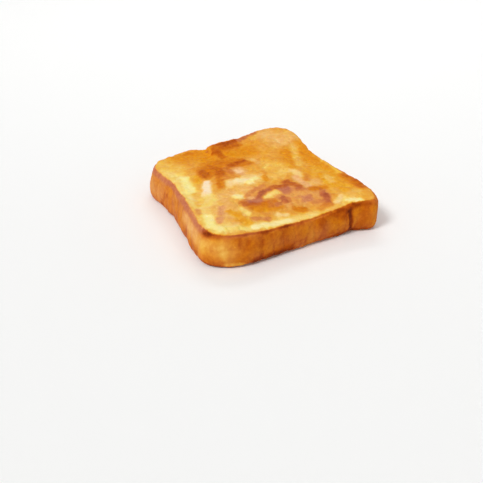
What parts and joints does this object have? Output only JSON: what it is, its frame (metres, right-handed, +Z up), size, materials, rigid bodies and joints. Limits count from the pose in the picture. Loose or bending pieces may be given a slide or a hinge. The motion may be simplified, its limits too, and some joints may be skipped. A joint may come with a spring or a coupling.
{
  "type": "french toast slice",
  "caption": "Thick slice of french toast from a two-humped tin loaf, lying flat, with rounded crust edges and one curled-up shoulder.",
  "frame": {"origin": "under the middle of the slice's bounding box, on the surface it lies on", "axes": "+Z up through the slice's thickness, +Y towards the loaf's crown, -Y towards its flat base"},
  "size_m": [0.12, 0.1216, 0.0273],
  "materials": {
    "fried_bread": "bread soaked in egg and milk and fried in butter: pale yellow to orange-brown, patchy, softly glossy"
  },
  "bodies": {
    "root": {"french_toast": "fried_bread"}
  },
  "joints": []
}
